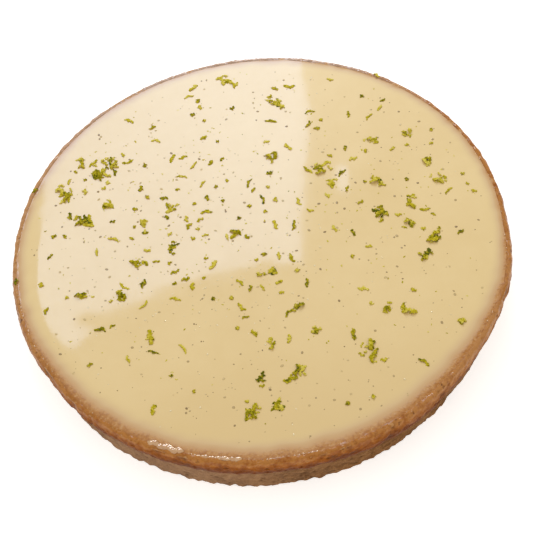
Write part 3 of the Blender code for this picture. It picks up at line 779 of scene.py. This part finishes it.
# Fine things: vanilla specks and pale bubbles in the glaze, wet drops on the lip; sizes are least and range
specks = {
    "count": 600, "size": (0.00022, 0.00042), "smallBias": 2.5, "reach": 0.1015, "flatness": 0.10,
    "seed": 71,
    "tones": ((0.0, (0.290, 0.195, 0.085)), (0.5, (0.520, 0.385, 0.180)), (1.0, (0.670, 0.510, 0.240))),
}
bubbles = {
    "count": 80, "size": (0.00020, 0.00028), "smallBias": 2.0, "reach": 0.1000, "flatness": 0.45,
    "patch": (-0.015, -0.026), "patchSpread": (0.030, 0.014), "gathered": 90,      # where most lie
    "seed": 72,
    "tones": ((0.82, 0.66, 0.34), (0.90, 0.78, 0.50)),
}
beads = {
    "runs": (   # first and last angle, how many, largest half width, how far in from the crest they reach
        (-120.5, -113.5, 64, 0.00125, 0.0014), (-113.5, -108.5, 16, 0.00055, 0.0004),
        (-108.5, -101.0, 40, 0.00105, 0.0006), (-101.0, -84.0, 18, 0.00050, 0.0004),
        (-178.0, -122.0, 40, 0.00040, 0.0004), (-40.0, 20.0, 18, 0.00035, 0.0004)),
    "share": (0.35, 0.65), "smallBias": 1.5, "flatness": 0.50, "seed": 75,
    "sinkInGlaze": 0.00005, "sinkInLip": 0.00010,
    "tones": ((0.420, 0.190, 0.060), (0.560, 0.330, 0.150)), "shineTint": (1.0, 0.80, 0.62),
}
domeLifts = (-0.35, 0.20, 0.65, 1.10)      # the angles of a dome's rings
domeAround = 8


def discPlaces(count, seed, reach):
    # x, y and a drawn number for each
    draw = np.random.default_rng(seed)
    radius = reach * np.sqrt(draw.random(count))
    angle = draw.random(count) * turnRound
    return radius * np.cos(angle), radius * np.sin(angle), draw.random((count, 3))[:, 0]


def tinyDomes(name, x, y, size, flatness, seed, level=None, heading=None):
    # each is a low dome of a few rings and a top point, closed underneath; ring radius = size * cosine of the
    # lift and height = size * flatness * its sine
    draw = np.random.default_rng(seed)
    count = len(x)
    t = np.arange(domeAround) * (turnRound / domeAround)
    level = creamTop(x, y, np.hypot(x, y)) if level is None else level
    stretch = 1.0 + (0.5 if heading is None else 1.2) * draw.random((count, 1))
    turn = draw.random((count, 1)) * turnRound if heading is None else heading[:, None]
    rings = []
    for lift in domeLifts:
        a = size[:, None] * math.cos(lift) * np.cos(t) * stretch
        b = size[:, None] * math.cos(lift) * np.sin(t)
        rings.append(np.stack([
            x[:, None] + a * np.cos(turn) - b * np.sin(turn),
            y[:, None] + a * np.sin(turn) + b * np.cos(turn),
            level[:, None] + size[:, None] * flatness * math.sin(lift) + 0.0 * a,
        ], -1))
    low = np.stack([x, y, level - size * flatness * 0.5], -1)
    high = np.stack([x, y, level + size * flatness], -1)
    skins = np.stack(rings, 1)
    tone = np.broadcast_to(draw.random(count)[:, None, None], skins.shape[:3])
    return closedSkins(name, skins, np.stack([low, high], 1), {"speckTone": tone})


def vanillaSpecks():
    # flat domes strewn evenly over the top, most of them small
    c = specks
    x, y, share = discPlaces(c["count"], c["seed"], c["reach"])
    size = within(c["size"], share ** c["smallBias"])
    return tinyDomes("vanillaSpecks", x, y, size, c["flatness"], c["seed"] + 2)


def glazeBubbles():
    # some anywhere, most in one patch
    c = bubbles
    x, y, share = discPlaces(c["count"], c["seed"], c["reach"])
    draw = np.random.default_rng(c["seed"] + 1)
    x = np.concatenate([x, c["patch"][0] + c["patchSpread"][0] * draw.normal(size=c["gathered"])])
    y = np.concatenate([y, c["patch"][1] + c["patchSpread"][1] * draw.normal(size=c["gathered"])])
    share = np.concatenate([share, draw.random((c["gathered"], 3))[:, 0]])
    size = within(c["size"], share ** c["smallBias"])
    return tinyDomes("glazeBubbles", x, y, size, c["flatness"], c["seed"] + 2)


def glazeBeads():
    # wet drops where the glaze caught on the inner edge of the lip
    c = beads
    draw = np.random.default_rng(c["seed"])
    rows = []
    for first, last, count, largest, reach in c["runs"]:
        angle = np.radians(first + (last - first) * draw.random(count))
        size = largest * within(c["share"], draw.random(count) ** c["smallBias"])
        radius = crust["crestRadius"] - reach * draw.random(count)
        out = radius + roundness(angle)
        x, y = out * np.cos(angle), out * np.sin(angle)
        onGlaze = creamTop(x, y, radius) - c["sinkInGlaze"]
        onLip = crust["height"] - c["sinkInLip"]
        rows.append(np.stack([x, y, size, angle, np.where(radius < cream["edgeEnd"], onGlaze, onLip)], 1))
    x, y, size, angle, level = np.concatenate(rows).T
    turn = angle + 0.5 * math.pi + 0.5 * (draw.random(len(x)) - 0.5)
    return tinyDomes("glazeBeads", x, y, size, c["flatness"], c["seed"] + 1, level, turn)


def vanillaSeed():
    # base colour = grey brown, darker or paler by each speck's own tone
    finish = Finish("vanillaSeed")
    colour = finish.ramp(finish.mark("speckTone"), specks["tones"])
    finish.set(baseColor=colour, roughness=0.5, coatWeight=0.3, coatRoughness=0.06, specularIORLevel=0.2)
    return finish.material


def bubbleSkin():
    # base colour = the cream's own, a little paler, under a clear shine
    finish = Finish("bubbleSkin")
    finish.set(baseColor=finish.mix(finish.mark("speckTone"), *bubbles["tones"]))
    finish.set(roughness=0.2, coatWeight=1.0, coatRoughness=0.05)
    return finish.material


def clearDrops():
    # base colour = honey brown by each drop's own tone, as the crust shows through, with a strong warm shine
    finish = Finish("clearDrops")
    finish.set(baseColor=finish.mix(finish.mark("speckTone"), *beads["tones"]))
    finish.set(roughness=0.07, IOR=3.2, specularTint=beads["shineTint"])
    return finish.material


# Light: a large window-like softbox behind and to the left, a small one behind, a bright room, a pale floor
lights = {
    "windowCorner": (0.0704, 0.747, 1.1255),
    "windowAlong": (-1.019, 0.243, 0.388), "windowUp": (0.174, 1.084, -0.223),
    "windowSize": (0.51, 0.60), "windowPower": 4.25, "windowColour": (0.495, 0.661, 1.0),
    "backPlace": (0.12, 0.66, 0.48),
    "backSize": (0.30, 0.16), "backPower": 1.4, "backColour": (0.90, 0.95, 1.0),
    "roomLow": (0.330, 0.306, 0.279), "roomHigh": (0.846, 0.792, 0.712), "roomTurn": (-0.10, 0.85),
    "floorHalf": 9.0, "floorColour": (0.86, 0.86, 0.86), "floorGlow": 0.60,
}


def brightenRoom():
    # the room's colour goes from low to high with the height looked at
    room = bpy.data.worlds.new("room")
    room.use_nodes = True
    nodes, links = room.node_tree.nodes, room.node_tree.links
    way = nodes.new("ShaderNodeTexCoord")
    part = nodes.new("ShaderNodeSeparateXYZ")
    rise = nodes.new("ShaderNodeMapRange")
    blend = nodes.new("ShaderNodeMix")
    blend.data_type = "RGBA"
    rise.interpolation_type = "SMOOTHSTEP"
    rise.inputs["From Min"].default_value, rise.inputs["From Max"].default_value = lights["roomTurn"]
    blend.inputs[6].default_value = (*lights["roomLow"], 1.0)
    blend.inputs[7].default_value = (*lights["roomHigh"], 1.0)
    links.new(way.outputs["Generated"], part.inputs[0])
    links.new(part.outputs["Z"], rise.inputs["Value"])
    links.new(rise.outputs[0], blend.inputs[0])
    links.new(blend.outputs[2], nodes["Background"].inputs["Color"])
    bpy.context.scene.world = room
    bpy.context.scene.view_settings.view_transform = "Standard"


def hangLight(name, size, power, colour, placing):
    # it shines along its own -Z
    lamp = bpy.data.lights.new(name, "AREA")
    lamp.shape = "RECTANGLE"
    lamp.size, lamp.size_y = size
    lamp.energy = power
    lamp.color = colour
    light = bpy.data.objects.new(name, lamp)
    light.matrix_world = placing
    bpy.context.scene.collection.objects.link(light)


def hangLights():
    # the window hangs by one corner and two sides; the back light faces the middle of the tart's underside
    setup = lights
    along = Vector(setup["windowAlong"]).normalized()
    up = Vector(setup["windowUp"])
    up = (up - along * up.dot(along)).normalized()
    wide, high = setup["windowSize"]
    middle = Vector(setup["windowCorner"]) + along * (0.5 * wide) + up * (0.5 * high)
    away = along.cross(up).normalized()
    if away.dot(middle) < 0.0:      # +Z has to point away from the tart
        away, up = -away, -up
    placing = Matrix.Translation(middle) @ Matrix((along, up, away)).transposed().to_4x4()
    hangLight("window", setup["windowSize"], setup["windowPower"], setup["windowColour"], placing)
    place = Vector(setup["backPlace"])
    placing = Matrix.Translation(place) @ place.to_track_quat("Z", "Y").to_matrix().to_4x4()
    hangLight("backLight", setup["backSize"], setup["backPower"], setup["backColour"], placing)


def layFloor():
    # one flat face that glows a little, so that it stays pale
    half = lights["floorHalf"]
    corners = np.array([(-half, -half, 0.0), (half, -half, 0.0), (half, half, 0.0), (-half, half, 0.0)])
    floor = makePiece("paleFloor", corners, np.array([[0, 1, 2, 3]]))
    finish = Finish("paleFloor")
    finish.set(baseColor=lights["floorColour"], roughness=0.85, specularIORLevel=0.2)
    finish.set(emissionColor=(1.0, 1.0, 1.0), emissionStrength=lights["floorGlow"])
    floor.data.materials.append(finish.material)


def keepPiece(piece, material, node):
    # the piece gets its finish and takes the place of the part's own node
    piece.data.materials.append(material)
    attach(piece, "root")
    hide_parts(node)


placeCamera()
brightenRoom()
hangLights()
layFloor()
print("camera, window and floor placed")

keepPiece(crustShell(), bakedCrust(), "pastry_case")
print("pastry case baked")

keepPiece(creamDisc(), lemonGlaze(), "lemon_cream")
print("cream poured and glazed")

zestDraw = np.random.default_rng(zest["seed"])
clumpRows = clumpShreds(zestDraw)
shreds = np.concatenate([clumpRows, singleShreds(zestDraw, clumpRows)])
crumbs = zestCrumbs(zestDraw)
bits, bitPale = clumpBits(zestDraw)
rimShreds, rimLevels = lipShreds()
peel = zestPeel()
shredLevels, crumbLevels, bitLevels = (
    creamTop(rows[:, 0], rows[:, 1], np.hypot(rows[:, 0], rows[:, 1])) for rows in (shreds, crumbs, bits))
wholeShred = (zest["stations"], zest["around"])
strewn = (      # name, rows, levels, stations and points around, seed, how much paler, node, slot
    ("zestShreds", shreds, shredLevels, wholeShred, 61, 0.12, "lemon_cream", "lemon_cream"),
    ("zestCrumbs", crumbs, crumbLevels - zest["crumbSink"], (5, 6), 62, 0.30, "lemon_cream", "lemon_cream"),
    ("zestBits", bits, bitLevels, (9, 8), 64, bitPale, "lemon_cream", "lemon_cream"),
    ("lipShreds", rimShreds, rimLevels, wholeShred, 63, 0.0, "pastry_case", "shortcrust"),
)
for name, rows, levels, detail, seed, paler, node, slotName in strewn:
    keepPiece(shredPiece(name, rows, levels, *detail, seed, paler), peel, node)
print("zest strewn:", len(shreds), "shreds,", len(crumbs), "crumbs,", len(rimShreds), "on the lip")

keepPiece(vanillaSpecks(), vanillaSeed(), "lemon_cream")
keepPiece(glazeBubbles(), bubbleSkin(), "lemon_cream")
keepPiece(glazeBeads(), clearDrops(), "pastry_case")
print("specks, bubbles and drops set")
